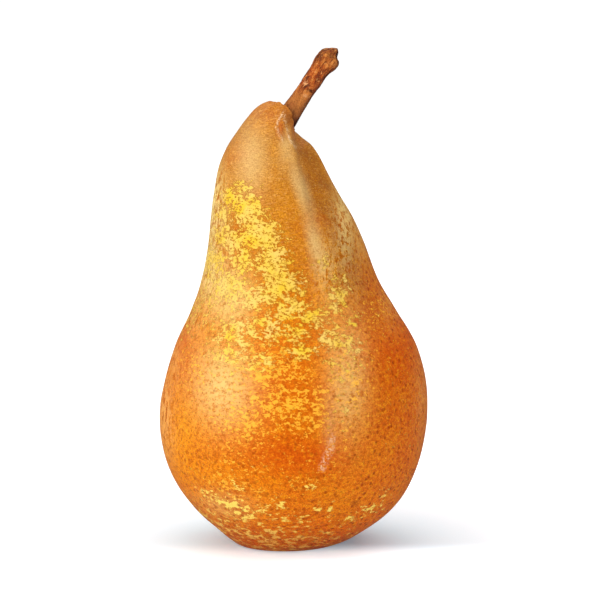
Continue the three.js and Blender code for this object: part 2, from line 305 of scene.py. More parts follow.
def sample_rows(rows, step):
    """Rows on a smooth curve through the given ones; step(i) is the spacing after row i."""
    r = np.array(rows, float)
    at = np.array(row_spacing(rows))
    secant = (r[1:] - r[:-1]) / (at[1:] - at[:-1])[:, None]
    slope = np.empty_like(r)
    slope[0], slope[-1] = secant[0], secant[-1]
    w = ((at[1:-1] - at[:-2]) / (at[2:] - at[:-2]))[:, None]
    slope[1:-1] = secant[:-1] * (1 - w) + secant[1:] * w
    out, index = [], []
    for i in range(len(rows) - 1):
        span = at[i + 1] - at[i]
        cuts = max(1, round(span / step(i)))
        for c in range(cuts):
            if i + c == 0:
                continue
            f = c / cuts
            out.append((2 * f**3 - 3 * f**2 + 1) * r[i] + (f**3 - 2 * f**2 + f) * span * slope[i]
                       + (3 * f**2 - 2 * f**3) * r[i + 1] + (f**3 - f**2) * span * slope[i + 1])
            index.append(i + f)
    return np.array(out), np.array(index)[:, None]


def on_rows(rows, angle, swell):
    """Grid of points around the rows, swollen or shrunk about each row's middle."""
    middle = np.stack([(rows[:, 0] + rows[:, 2]) / 2, rows[:, 5], (rows[:, 1] + rows[:, 3]) / 2], -1)
    side_x, side_z = (rows[:, 2] - rows[:, 0]) / 2, (rows[:, 3] - rows[:, 1]) / 2
    c, s = np.cos(angle) * swell, np.sin(angle) * swell
    points = np.empty(swell.shape + (3,))
    points[..., 0] = middle[:, None, 0] + side_x[:, None] * c
    points[..., 1] = middle[:, None, 1] + rows[:, 4][:, None] * s
    points[..., 2] = middle[:, None, 2] + side_z[:, None] * c
    return points


def row_middle(row):
    return ((row[0] + row[2]) / 2, row[5], (row[1] + row[3]) / 2)


def grid_normals(points):
    """Outward directions at a grid of points."""
    beside = np.roll(points, -1, 1) - np.roll(points, 1, 1)
    along = np.gradient(points, axis=0)
    n = np.cross(beside, along)
    return n / np.maximum(np.linalg.norm(n, axis=-1, keepdims=True), 1e-9)


def skin_object(name, points, first, last, masks=None):
    """Closed mesh from a grid of points, in millimetres, and a point at each end."""
    rows, sides = points.shape[:2]
    verts = np.vstack([[first], points.reshape(-1, 3), [last]]) + SHIFT
    base = 1 + np.arange(rows * sides).reshape(rows, sides)
    nxt = np.roll(base, -1, 1)
    quads = np.stack([base[:-1], nxt[:-1], nxt[1:], base[1:]], -1).reshape(-1, 4)
    end = len(verts) - 1
    faces = quads.tolist()
    faces += [(0, b, a) for a, b in zip(base[0], nxt[0])]
    faces += [(end, a, b) for a, b in zip(base[-1], nxt[-1])]
    mesh = bpy.data.meshes.new(name)
    mesh.from_pydata((verts * MM).tolist(), [], faces)
    for key, values in (masks or {}).items():
        flat = np.concatenate([[values[0].mean()], values.reshape(-1), [values[-1].mean()]])
        mesh.attributes.new(key, "FLOAT", "POINT").data.foreach_set("value", flat.astype(np.float32))
    mesh.polygons.foreach_set("use_smooth", [True] * len(mesh.polygons))
    obj = bpy.data.objects.new(name, mesh)
    bpy.context.collection.objects.link(obj)
    return obj


# Materials
class Nodes:
    """Short calls for building a node material in millimetre coordinates."""

    def __init__(self, name):
        self.material = bpy.data.materials.new(name)
        self.material.use_nodes = True
        self.tree = self.material.node_tree
        self.tree.nodes.clear()
        self.out = self.add("ShaderNodeOutputMaterial")
        self.shader = self.add("ShaderNodeBsdfPrincipled")
        self.link(self.shader.outputs[0], self.out.inputs[0])
        coords = self.add("ShaderNodeTexCoord")
        self.place = self.mapping(coords.outputs["Object"], (1 / MM, 1 / MM, 1 / MM))

    def add(self, kind):
        return self.tree.nodes.new(kind)

    def link(self, source, target):
        self.tree.links.new(source, target)

    def feed(self, socket, value):
        if isinstance(value, bpy.types.NodeSocket):
            self.link(value, socket)
        else:
            socket.default_value = value

    def set(self, key, value):
        self.feed(self.shader.inputs[key], value)

    def mapping(self, vector, scale, turn=(0, 0, 0)):
        n = self.add("ShaderNodeMapping")
        self.feed(n.inputs["Vector"], vector)
        n.inputs["Scale"].default_value = scale
        n.inputs["Rotation"].default_value = turn
        return n.outputs[0]

    def noise(self, scale, detail=3.0, rough=0.55, vector=None, distort=0.0):
        n = self.add("ShaderNodeTexNoise")
        self.feed(n.inputs["Vector"], vector or self.place)
        n.inputs["Scale"].default_value = scale
        n.inputs["Detail"].default_value = detail
        n.inputs["Roughness"].default_value = rough
        n.inputs["Distortion"].default_value = distort
        return n.outputs[0]

    def cells(self, scale):
        n = self.add("ShaderNodeTexVoronoi")
        self.feed(n.inputs["Vector"], self.place)
        n.inputs["Scale"].default_value = scale
        return n.outputs["Distance"], n.outputs["Color"]

    def attribute(self, name):
        n = self.add("ShaderNodeAttribute")
        n.attribute_name = name
        return n.outputs["Fac"]

    def math(self, op, a, b=0.0):
        n = self.add("ShaderNodeMath")
        n.operation = op
        self.feed(n.inputs[0], a)
        self.feed(n.inputs[1], b)
        return n.outputs[0]

    def times(self, a, b):
        return self.math("MULTIPLY", a, b)

    def plus(self, a, b):
        return self.math("ADD", a, b)

    def minus(self, a, b):
        return self.math("SUBTRACT", a, b)

    def span(self, value, low, high, to_low=0.0, to_high=1.0, smooth=False):
        n = self.add("ShaderNodeMapRange")
        n.interpolation_type = "SMOOTHSTEP" if smooth else "LINEAR"
        self.feed(n.inputs["Value"], value)
        for key, number in (("From Min", low), ("From Max", high), ("To Min", to_low), ("To Max", to_high)):
            n.inputs[key].default_value = number
        return n.outputs[0]

    def mix(self, factor, a, b):
        n = self.add("ShaderNodeMix")
        n.data_type = "RGBA"
        self.feed(n.inputs[0], factor)
        self.feed(n.inputs[6], a)
        self.feed(n.inputs[7], b)
        return n.outputs[2]

    def painted(self, base, colour, mask, strength=1.0):
        """The base with a colour where the mask is."""
        return self.mix(self.times(self.attribute(mask), strength), base, colour)

    def laid(self, base, colour, value, none, full, strength, where=None, smooth=False):
        """The base with a colour that grows as the value goes from none to full."""
        amount = self.span(value, none, full, 0, strength, smooth)
        if where is not None:
            amount = self.times(amount, where)
        return self.mix(amount, base, colour)

    def rimmed(self, base, colour, value, edge, width, strength):
        """The base with a colour where the value is near the edge."""
        off = self.math("ABSOLUTE", self.minus(value, edge))
        return self.laid(base, colour, off, width, 0, strength)

    def ramp(self, value, stops):
        n = self.add("ShaderNodeValToRGB")
        self.feed(n.inputs[0], value)
        points = n.color_ramp.elements
        while len(points) < len(stops):
            points.new(0.5)
        for point, (at, colour) in zip(points, stops):
            point.position = at
            point.color = colour
        return n.outputs[0]

    def bumped(self, height, distance, strength, before=None):
        n = self.add("ShaderNodeBump")
        n.inputs["Strength"].default_value = strength
        n.inputs["Distance"].default_value = distance
        self.feed(n.inputs["Height"], height)
        if before:
            self.link(before, n.inputs["Normal"])
        return n.outputs[0]


def rgb(r, g, b):
    """Linear colour from 0-255 display values."""
    def linear(v):
        v /= 255
        return v / 12.92 if v <= 0.04045 else ((v + 0.055) / 1.055) ** 2.4
    return (linear(r), linear(g), linear(b), 1.0)


# Colours of the skin: from base to crown as (share of the height, colour), then the rest by what they show
SKIN_BY_HEIGHT = [
    (0.0, rgb(252, 86, 0)), (0.14, rgb(242, 121, 12)), (0.3, rgb(228, 114, 2)), (0.5, rgb(222, 114, 6)),
    (0.62, rgb(206, 118, 20)), (0.76, rgb(202, 128, 32)), (0.9, rgb(190, 128, 48)), (1.0, rgb(184, 116, 52)),
]
BLUSH, BLUSH_OVER = rgb(208, 64, 0), rgb(212, 66, 0)
GOLDEN = rgb(250, 156, 10)
# Painted shade for the valley down the right of the neck
VALLEY_SHADE_BROWN = rgb(140, 74, 14)
CLOUD_DARK, CLOUD_LIGHT = rgb(206, 84, 0), rgb(238, 148, 12)
MOTTLE_DARK, MOTTLE_LIGHT = rgb(184, 74, 0), rgb(248, 166, 12)
BRUSHED_DARK, BRUSHED_LIGHT = rgb(172, 90, 24), rgb(234, 176, 100)
GRAIN_DARK, GRAIN_LIGHT = rgb(148, 70, 4), rgb(250, 182, 44)
# Pale skin with painted highlights, under and over the patches
PALE_HIGHLIGHT_UNDER, PALE_HIGHLIGHT_OVER = rgb(246, 200, 112), rgb(246, 214, 140)
# Painted highlight on the neck
SHINE_TAN = rgb(226, 192, 126)
SPECKLE_DARK, SPECKLE_LOW, SPECKLE_HIGH = rgb(176, 90, 16), rgb(248, 180, 92), rgb(255, 230, 146)
# Brown of the lip's facet, also painted shade along the lip by the stem
FACET_BROWN_AND_LIP_SHADE = rgb(158, 84, 34)
AMBER_UNDER, AMBER_RIM, AMBER_PATCH = rgb(202, 86, 0), rgb(192, 76, 0), rgb(252, 184, 52)
YELLOW_RIM, YELLOW_HOLE = rgb(154, 90, 6), rgb(174, 112, 6)
YELLOW_DEEP, YELLOW_PALE = rgb(240, 199, 54), rgb(242, 205, 104)
FLECK_GAP, FLECK_EDGE = rgb(186, 76, 8), rgb(170, 84, 8)
FLECK_LOW, FLECK_HIGH = rgb(252, 184, 84), rgb(255, 222, 100)
DOT_BROWN, PIN_BROWN = rgb(150, 50, 0), rgb(160, 64, 0)
# Pale rubs, and dark brown for a bruised spot and for painted shade in the stem's pit and the calyx's hollow
RUBBED, BRUISE_AND_PIT_SHADE = rgb(246, 212, 166), rgb(136, 60, 16)
SKIN_GLOSS = (1.0, 0.68, 0.16, 1.0)


def ground_and_valley_shade(m, height, lively, calm, mottle, grain):
    """Tan crown and orange belly with red and golden patches, painted shade in the valley of the neck, soft
    clouds, fine mottling, brushed marks on the neck and grain.
    """
    base = m.ramp(height, SKIN_BY_HEIGHT)
    base = m.painted(base, BLUSH, "red", 0.9)
    base = m.painted(base, GOLDEN, "gold", 0.8)
    # Painted shade in the valley down the right of the neck
    base = m.painted(base, VALLEY_SHADE_BROWN, "valley", 0.9)
    clouds = m.noise(0.11, 3, 0.6)
    base = m.laid(base, CLOUD_DARK, clouds, 0.5, 0.72, 0.45)
    base = m.laid(base, CLOUD_LIGHT, clouds, 0.5, 0.3, 0.35)
    base = m.laid(base, MOTTLE_DARK, mottle, 0.5, 0.38, 0.75, lively)
    base = m.laid(base, MOTTLE_LIGHT, mottle, 0.52, 0.64, 0.85, lively)
    brushed = m.noise(1.1, 5, 0.7, m.mapping(m.place, (0.7, 0.7, 3.0)))
    base = m.laid(base, BRUSHED_DARK, brushed, 0.52, 0.4, 0.7, calm)
    base = m.laid(base, BRUSHED_LIGHT, brushed, 0.52, 0.64, 0.7, calm)
    base = m.laid(base, GRAIN_DARK, grain, 0.5, 0.36, 0.7)
    base = m.laid(base, GRAIN_LIGHT, grain, 0.53, 0.66, 0.5)
    return m.painted(base, BLUSH_OVER, "red", 0.5)


def pale_lit_and_shaded_parts(m, base, height, glow, grain):
    """Pale cheeks with painted highlights, painted highlights and a highlight streak on the neck, speckled
    russet along the rims, and the brown facet of the lip with painted shade along the lip by the stem.
    """
    # Pale skin with painted highlights on the cheeks
    base = m.mix(glow, base, PALE_HIGHLIGHT_UNDER)
    # Painted highlights on the neck and the painted highlight streak down its ridge
    shine = m.times(m.attribute("shine"), m.span(grain, 0.38, 0.56, 0.45, 0.95))
    base = m.mix(shine, base, SHINE_TAN)
    speckle = m.noise(1.3, 4, 0.75, m.mapping(m.place, (0.9, 0.55, 0.4)))
    cream = m.attribute("cream")
    pale = m.mix(m.span(height, 0.5, 0.65), SPECKLE_LOW, SPECKLE_HIGH)
    base = m.laid(base, SPECKLE_DARK, speckle, 0.45, 0.42, 0.9, cream)
    base = m.laid(base, pale, speckle, 0.45, 0.485, 0.95, cream)
    # Brown facet of the lip, and painted shade along the lip by the stem
    return m.painted(base, FACET_BROWN_AND_LIP_SHADE, "facet", 0.75)


def amber_flecks(m, base, calm, wide, holes):
    """Small amber flecks with dark edges, few of them on the neck."""
    base = m.painted(base, AMBER_UNDER, "amber", 0.3)
    field = m.plus(m.noise(0.72, 6, 0.7, wide, 0.5), holes)
    field = m.plus(field, m.times(m.attribute("amber"), 0.24))
    field = m.minus(field, m.times(calm, 0.12))
    base = m.rimmed(base, AMBER_RIM, field, 1.075, 0.05, 0.5)
    return m.laid(base, AMBER_PATCH, field, 1.085, 1.115, 0.9, smooth=True)


def yellow_patches(m, base, calm, wide, holes):
    """Ragged yellow patches with brown rims and pinholes; also gives where they are."""
    field = m.plus(m.noise(0.52, 6, 0.7, wide, 0.4), holes)
    field = m.plus(field, m.times(m.attribute("yellow"), 0.37))
    field = m.minus(field, m.times(m.times(calm, calm), 0.13))
    base = m.rimmed(base, YELLOW_RIM, field, 1.105, 0.045, 0.85)
    yellow = m.mix(m.span(m.noise(0.2, 2), 0.35, 0.65), YELLOW_DEEP, YELLOW_PALE)
    yellow = m.laid(yellow, YELLOW_HOLE, holes, 0.385, 0.345, 0.9)
    patch = m.span(field, 1.12, 1.15, 0, 1, True)
    return m.mix(m.times(patch, 0.95), base, yellow), patch


def base_flecks(m, base, height):
    """Pale flecks with dark edges near the base, more orange towards the floor."""
    low = m.attribute("low")
    fleck = m.noise(0.55, 6, 0.72, m.mapping(m.place, (0.8, 0.8, 1.6)), 0.3)
    base = m.laid(base, FLECK_GAP, fleck, 0.56, 0.42, 0.6, low)
    speck = m.plus(fleck, m.times(low, 0.17))
    where = m.span(low, 0.1, 0.3)
    base = m.laid(base, FLECK_EDGE, speck, 0.64, 0.66, 0.5, where)
    pale = m.mix(m.span(height, 0.03, 0.1), FLECK_LOW, FLECK_HIGH)
    return m.laid(base, pale, speck, 0.665, 0.68, 0.95, where, smooth=True)


def brown_dots(m, base, lively):
    """Brown dots and smaller pinpoints; also gives where the dots are."""
    far, chance = m.cells(0.6)
    spot = m.times(m.span(far, 0.16, 0.36, 1, 0), m.span(chance, 0.25, 0.5))
    spot = m.times(spot, m.attribute("dots"))
    near, luck = m.cells(0.85)
    pin = m.times(m.span(near, 0.12, 0.3, 1, 0), m.span(luck, 0.35, 0.6))
    pin = m.times(pin, lively)
    base = m.mix(m.times(spot, 0.85), base, DOT_BROWN)
    return m.mix(m.times(pin, 0.55), base, PIN_BROWN), spot


def skin_material():
    """Russet skin: tan crown, orange belly, ragged yellow patches, brown dots, with painted highlights and
    painted shade.
    """
    m = Nodes("russet_skin")
    height = m.attribute("height")
    lively = m.attribute("lively")
    calm = m.minus(1.0, lively)
    mottle = m.noise(0.8, 6, 0.72, m.mapping(m.place, (1.0, 1.0, 1.4)))
    grain = m.noise(2.6, 4, 0.8)
    # Where the pale skin with painted highlights shows
    glow = m.times(m.attribute("glow"), m.span(mottle, 0.4, 0.5, 0.3, 0.95))
    wide = m.mapping(m.place, (0.85, 0.85, 1.3))
    holes = m.times(m.noise(1.25, 5, 0.7, wide), 0.8)

    colour = ground_and_valley_shade(m, height, lively, calm, mottle, grain)
    colour = pale_lit_and_shaded_parts(m, colour, height, glow, grain)
    colour = amber_flecks(m, colour, calm, wide, holes)
    colour, patch = yellow_patches(m, colour, calm, wide, holes)
    # More pale skin with painted highlights, over the patches
    colour = m.mix(m.times(glow, 0.45), colour, PALE_HIGHLIGHT_OVER)
    colour = base_flecks(m, colour, height)
    colour, spot = brown_dots(m, colour, lively)
    rub = m.times(m.attribute("rub"), m.span(m.noise(1.5, 4, 0.75), 0.48, 0.56))
    colour = m.mix(rub, colour, RUBBED)
    # A bruised spot, and painted shade in the stem's pit and the calyx's hollow
    m.set("Base Color", m.painted(colour, BRUISE_AND_PIT_SHADE, "bruise_and_shade"))

    m.set("Roughness", m.span(mottle, 0.3, 0.7, 0.28, 0.44))
    m.set("Specular IOR Level", 0.3)
    m.set("Specular Tint", SKIN_GLOSS)
    normal = m.bumped(m.plus(grain, mottle), 0.00016, 0.6)
    normal = m.bumped(m.minus(m.times(patch, 0.3), spot), 0.00012, 0.6, normal)
    m.set("Normal", normal)
    return m.material


# Colours of the bark, from foot to broken end as (share of the length, colour), then by what they show
BARK_BY_LENGTH = [
    (0.0, rgb(140, 70, 20)), (0.12, rgb(180, 108, 48)), (0.3, rgb(186, 110, 44)), (0.42, rgb(172, 82, 20)),
    (0.62, rgb(190, 90, 22)), (0.85, rgb(162, 88, 26)), (1.0, rgb(160, 92, 36)),
]
CRACK, STREAK_TAN = rgb(84, 28, 4), rgb(226, 142, 62)
FLAKE_LIGHT, FLAKE_DARK = rgb(240, 168, 96), rgb(150, 48, 8)
SCAB, BARK_SHADE = rgb(244, 184, 126), rgb(70, 24, 4)


def bark_material():
    """Stem bark: red-brown and cracked along its length, smooth and paler at the foot."""
    m = Nodes("stem_bark")
    upright = m.mapping(m.place, (1, 1, 1), (0, -STEM_LEAN, 0))
    streaks = m.noise(0.9, 5, 0.65, m.mapping(upright, (1, 1, 0.3)), 0.6)
    flakes = m.noise(0.9, 5, 0.7, None, 0.8)
    along = m.attribute("along")
    wild = m.span(along, 0.3, 0.42, 0.35, 1.0)
    base = m.ramp(along, BARK_BY_LENGTH)
    base = m.laid(base, CRACK, streaks, 0.5, 0.38, 0.9, wild)
    base = m.laid(base, STREAK_TAN, streaks, 0.52, 0.62, 0.8, wild)
    base = m.laid(base, FLAKE_LIGHT, flakes, 0.55, 0.64, 0.7, wild)
    base = m.laid(base, FLAKE_DARK, flakes, 0.46, 0.36, 0.5, wild)
    base = m.laid(base, SCAB, flakes, 0.4, 0.55, 1, m.attribute("scab"))
    # Painted shade on the bark
    m.set("Base Color", m.painted(base, BARK_SHADE, "dark"))
    m.set("Specular IOR Level", 0.2)
    m.set("Roughness", m.span(flakes, 0.3, 0.7, 0.55, 0.8))
    m.set("Normal", m.bumped(m.plus(m.times(streaks, 1.4), flakes), 0.0006, 0.8))
    return m.material


# Colours of the dried calyx, from dark to pale fibres
DRIED = [(0.3, rgb(48, 30, 18)), (0.5, rgb(86, 56, 34)), (0.72, rgb(142, 104, 68))]


def sepal_material():
    """Dried calyx: dark brown with paler ribs and dusty edges."""
    m = Nodes("dried_calyx")
    fibres = m.noise(1.8, 5, 0.7)
    m.set("Base Color", m.ramp(fibres, DRIED))
    m.set("Roughness", m.span(fibres, 0.3, 0.7, 0.75, 0.92))
    m.set("Normal", m.bumped(fibres, 0.0003, 0.8))
    return m.material


# Floor: its colour and glow near the pear and away from it, and the distances between which they change
# Near the pear the floor is bluish in colour and glow, so that the orange light bounced into the pear's
# shadow comes out grey
FLOOR_NEAR, FLOOR_AWAY = (0.84, 0.94, 0.98, 1), (0.93, 0.9, 0.91, 1)
FLOOR_GLOW_NEAR, FLOOR_GLOW_AWAY = (0.5, 0.79, 1.0, 1), (1, 1, 1, 1)
TINT_START, TINT_END = 30, 66
GLOW_START, GLOW_END = 46, 110


def floor_material():
    """White floor, brighter to the eye in front of the pear and away from it, with no far edge; in front it
    is painted light that lightens the pear's shadow.
    """
    m = Nodes("pale_floor")
    m.set("Roughness", 0.9)
    m.set("Specular IOR Level", 0.1)
    length = m.add("ShaderNodeVectorMath")
    length.operation = "LENGTH"
    m.link(m.place, length.inputs[0])
    distance = length.outputs["Value"]
    away = m.span(distance, TINT_START, TINT_END)
    m.set("Base Color", m.mix(away, FLOOR_NEAR, FLOOR_AWAY))
    split = m.add("ShaderNodeSeparateXYZ")
    m.link(m.place, split.inputs[0])
    in_front = m.span(split.outputs["Y"], 1, -14, 0, 1, True)
    white = m.math("MAXIMUM", away, m.times(in_front, 0.8))
    m.set("Emission Color", m.mix(white, FLOOR_GLOW_NEAR, FLOOR_GLOW_AWAY))
    seen = m.add("ShaderNodeLightPath")
    # Painted light: a fill seen only by the camera, in front of the pear and stronger on the right, that
    # lightens its shadow there
    fill = m.times(in_front, m.span(split.outputs["X"], -25, 5, 0.16, 0.42))
    glow = m.plus(m.span(distance, GLOW_START, GLOW_END, 0.1, 0.4, True), fill)
    glow = m.times(seen.outputs["Is Camera Ray"], glow)
    m.set("Emission Strength", m.plus(glow, 0.1))
    return m.material


# Pieces
def fruit_step(i):
    """Spacing of the fine rows, closest where the crown folds."""
    if i < BODY_START:
        return BASE_STEP
    if i < CROWN_START:
        return BODY_STEP
    return CROWN_STEP if i < SOCKET_START else SOCKET_STEP


def fruit_grid():
    """Points of the smooth body, the row numbers and angles of the grid, and each row's middle in Y."""
    rows, index = sample_rows(FRUIT_ROWS, fruit_step)
    angle = around(FRUIT_SIDES)
    lobes = 0.007 * np.sin(2 * angle + math.pi) + 0.006 * np.sin(3 * angle) + 0.004 * np.sin(5 * angle)
    pleats = 0.035 * bump(index, 4.6, 1.9) * np.cos(9 * angle + 0.7)
    groove = -0.065 * bump(index, 24.5, 5) * bump(from_angle(angle, -29), 0, 24)
    ridge = 0.03 * bump(index, 23.5, 5.5) * bump(from_angle(angle, -58), 0, 22)
    folds = 0.03 * bump(index, 27.2, 3) * np.cos(8 * angle + 0.4 * np.sin(3 * angle))
    swell = 1 + lobes * bump(index, 16, 9) + pleats + groove + ridge + folds
    points = on_rows(rows, angle, swell)
    lip = LIP_RISE * bump(index, 27.9, 2.6) * bump(from_angle(angle, 260), 0, 88)
    points[..., 0] += lip * math.cos(LIP_TILT)
    points[..., 2] += lip * math.sin(LIP_TILT)
    return points, index, angle, rows[:, 5][:, None]


def front_parts(points, middle_y):
    """Strength of the front half, strength of the facet, and distance to the right of the neck's ridge."""
    x, z = points[..., 0], points[..., 2]
    front = ease(points[..., 1] - middle_y, 0, -5)
    off = x - FACET_X + FACET_LEAN * (z - FACET_Z)
    facet = front * bump(np.hypot(off / 1.7, (z - FACET_Z) / 4.0), 0, 1.3)
    ridge_x, ridge_z = zip(*reversed(RIDGE))
    return front, facet, x - np.interp(z, ridge_z, ridge_x)


def fine_relief(points, index, angle, front, facet, right):
    """Height of the fine relief: dents of the body, puckers and creases by the stem, valley of the neck."""
    x, z = points[..., 0], points[..., 2]
    dents = 0.16 * (fuzz(points, 0.07) - 0.8) + 0.05 * (fuzz(points, 0.22, 5.0) - 0.8)
    crown = bump(index, 27, 4.5) * (1 - 0.85 * bump(from_angle(angle, 175), 0, 65))
    waves = np.cos(17 * angle + 2.2 * np.sin(2 * angle) + 0.25 * index)
    puckers = crown * (0.16 * waves * (0.6 + 0.5 * np.sin(5 * angle + 1)) - 0.15)
    creases = 0.16 * front * on_creases(x, z) - 0.4 * facet
    valley = front * ease(right, -0.6, 2.0) * ease(right, 12, 2) * ease(z, 82, 96) * ease(z, 112.5, 109.5)
    seat = ease(z, 0.0, 1.6)
    stem_clear = ease(index, 30.5, 29.2)
    return (dents + puckers + creases - valley) * seat * stem_clear


def fruit_masks(points, index, angle, front, facet, right):
    """Where each look of the skin shows, as a number at each point."""
    x, z = points[..., 0], points[..., 2]
    turn = angle + 0 * z
    side = ease(points[..., 1], 6, 0)
    # Painted highlight streak down the neck's ridge
    streak = front * near_line(x, z, HIGHLIGHT_STREAK, 3.2) * (0.6 + 0.2 * np.cos(0.45 * z))
    # Painted shade down the right of the neck, and right of the neck's ridge
    hollow = bump(from_angle(turn, -42), 0, 24) * ease(z, 58, 74) * ease(z, 114, 109)
    beside = front * ease(right, 0.2, 1.6) * ease(right, 13, 7) * ease(z, 86, 98) * ease(z, 114, 111)
    dots = np.clip(0.35 + 0.6 * bump(from_angle(turn, -15), 0, 85) + 0.3 * ease(z, 40, 20), 0, 1)
    rub = front * (0.85 * on_creases(x, z) + 0.8 * near_line(x, z, SCUFF, 1.5))
    bruise_and_shade = 0.7 * front * bump(np.hypot((x - BRUISE_X) / 1.4, z - BRUISE_Z), 0, 1.3)
    return {
        "height": np.clip(z / BODY_HEIGHT, 0, 1),
        "yellow": marks(x, z, side, turn, YELLOW, YELLOW_ROUND) - 0.6 * ease(z, 99, 106),
        "amber": marks(x, z, side, turn, AMBER, AMBER_ROUND) - 0.6 * ease(z, 96, 104),
        "red": marks(x, z, side, turn, RED, RED_ROUND),
        "gold": marks(x, z, side, turn, GOLD, GOLD_ROUND),
        "cream": marks(x, z, side, turn, CREAM, CREAM_ROUND),
        # Pale skin with painted highlights
        "glow": marks(x, z, side, turn, PALE_AND_HIGHLIGHT_MARKS),
        # Painted highlights and the painted highlight streak
        "shine": np.maximum(streak, marks(x, z, side, turn, SHINE)),
        # Painted shade in the valley of the neck
        "valley": np.maximum(hollow, 0.9 * beside),
        "low": np.maximum(0.84 * ease(z - 0.2 * np.clip(-x, -20, 25), 17, 3), marks(x, z, side, turn, LOW)),
        "lively": 0.25 + 0.75 * ease(z, 100, 62),
        "dots": dots * (0.2 + 0.8 * ease(z, 100, 75)),
        "rub": np.clip(rub, 0, 1),
        # Facet of the lip, and painted shade along the lip by the stem
        "facet": np.maximum(facet, 0.9 * side * near_line(x, z, LIP, 1.9)),
        # A bruised spot, and painted shade in the stem's pit and the calyx's hollow
        "bruise_and_shade": bruise_and_shade + 0.6 * (index > 29.6) + 0.5 * (index < 3.2),
    }


def make_fruit():
    points, index, angle, middle_y = fruit_grid()
    front, facet, right = front_parts(points, middle_y)
    relief = fine_relief(points, index, angle, front, facet, right)
    points += grid_normals(points) * relief[..., None]
    points[..., 2] = np.maximum(points[..., 2], 0)
    masks = fruit_masks(points, index, angle, front, facet, right)
    obj = skin_object("fruit_skin", points, row_middle(FRUIT_ROWS[0]), row_middle(FRUIT_ROWS[-1]), masks)
    obj.data.materials.append(skin_material())
    return obj


def stem_grid():
    """Points of the ribbed stem with its knob and slanted end, the row numbers and angles of the grid."""
    rows, index = sample_rows(STEM_ROWS, lambda i: STEM_STEP)
    angle = around(STEM_SIDES)
    free = bump(index, 9, 7)
    ribs = 0.045 * free * np.cos(6 * angle + 0.5 * np.sin(0.9 * index))
    fine_ribs = 0.022 * free * np.cos(15 * angle + 1.7 * np.sin(0.7 * index + 1))
    band = 0.04 * bump(index, 6.6, 0.7)
    knob = 0.1 * bump(index, 10.2, 1.4) * bump(from_angle(angle, -40), 0, 50)
    dent = -0.09 * bump(index, 11.6, 1.3) * bump(from_angle(angle, -65), 0, 45)
    return on_rows(rows, angle, 1 + ribs + fine_ribs + band + knob + dent), index, angle


def bark_relief(points, index, along, nick):
    """Height of the bark: fibres along the stem, small lumps and the nick."""
    fibre = points.copy()
    fibre[..., 0] -= 0.8 * along * math.sin(STEM_LEAN)
    fibre[..., 2] -= 0.8 * along * math.cos(STEM_LEAN)
    rough = 0.16 * (fuzz(fibre, 0.9, 3.0) - 0.5) + 0.09 * (fuzz(points, 1.3, 9.0) - 0.5)
    return (rough - 0.5 * nick) * ease(index, 3.2, 4.4) * ease(index, 15, 13.5)


def stem_masks(index, angle, along, nick):
    """Where the bark is dark or scabbed, and how far along the stem each point is."""
    turn = angle + 0 * along
    # Painted shade on both sides of the stem, in the nick, at the foot and on one side just past the knob
    dark = 0.85 * bump(from_angle(turn, -2), 0, 55) + 0.45 * bump(from_angle(turn, 180), 0, 35)
    dark += 0.95 * nick + 0.85 * bump(along, 0.3, 3.2)
    dark += 0.9 * bump(index, 12.6, 1.2) * bump(from_angle(turn, -25), 0, 40)
    scab = 0.7 * bump(along, 11.2, 0.8) * bump(from_angle(turn, -130), 0, 50)
    scab += 0.6 * bump(along, 8.4, 0.7) * bump(from_angle(turn, -75), 0, 25)
    return {"along": np.clip(along / STEM_LENGTH, 0, 1), "dark": np.clip(dark, 0, 1), "scab": scab}


def make_stem():
    points, index, angle = stem_grid()
    along = (points[..., 0] - STEM_FOOT[0]) * math.sin(STEM_LEAN)
    along += (points[..., 2] - STEM_FOOT[2]) * math.cos(STEM_LEAN)
    nick = bump(along, NICK_AT, NICK_HALF) * bump(from_angle(angle, -62), 0, 34)
    points += grid_normals(points) * bark_relief(points, index, along, nick)[..., None]
    masks = stem_masks(index, angle, along, nick)
    obj = skin_object("stem_bark", points, row_middle(STEM_ROWS[0]), row_middle(STEM_ROWS[-1]), masks)
    obj.data.materials.append(bark_material())
    return obj


def from_base(out, across, high, turn):
    """Points given outwards, across and up from the middle of the base, turned about it."""
    c, s = math.cos(turn), math.sin(turn)
    return np.stack([BASE_X + out * c - across * s, BASE_Y + out * s + across * c, high], -1)


def sepal_grid(turn, reach, droop, twist):
    """Points of one dried sepal, from the cup to its curled tip."""
    steps, sides = 26, 20
    t = np.linspace(0, 1, steps)
    widths = np.interp(t, [0, 0.18, 0.4, 0.62, 0.82, 0.95, 1], [0.9, 1.35, 1.5, 1.2, 0.75, 0.4, 0.25])
    r = 0.9 + reach * np.sin(t * 1.25) / math.sin(1.25)
    z = 4.3 - droop * t ** 1.6
    slope = np.arctan2(np.gradient(z), np.gradient(r))[:, None]
    a = around(sides)
    wide = widths[:, None] * np.cos(a)
    rib = 0.06 * np.cos(7 * wide / widths[:, None])
    thick = (0.3 + rib) * np.sin(a) + 0.22 * np.cos(a) ** 2 * widths[:, None]
    roll = twist * t[:, None]
    across = wide * np.cos(roll) - thick * np.sin(roll)
    up = wide * np.sin(roll) + thick * np.cos(roll)
    return from_base(r[:, None] - up * np.sin(slope), across, z[:, None] + up * np.cos(slope), turn)


def cup_grid():
    """Points of the cup that sits in the hollow and holds the sepals."""
    radius, top = SEAT_RADIUS - GAP, SEAT_TOP - GAP
    rows, _ = sample_rows([
        ring(0, 4.0), ring(0.8, 3.9), ring(1.35, 3.3), ring(radius - 0.2, 3.35), ring(radius, 4.0),
        ring(radius, SEAT_TOP - 0.8), ring(radius - 0.4, top), ring(0, top)], lambda i: CUP_STEP)
    angle = around(CUP_SIDES)
    return on_rows(rows, angle, np.ones((len(rows), 1)) + 0.03 * np.cos(10 * angle))


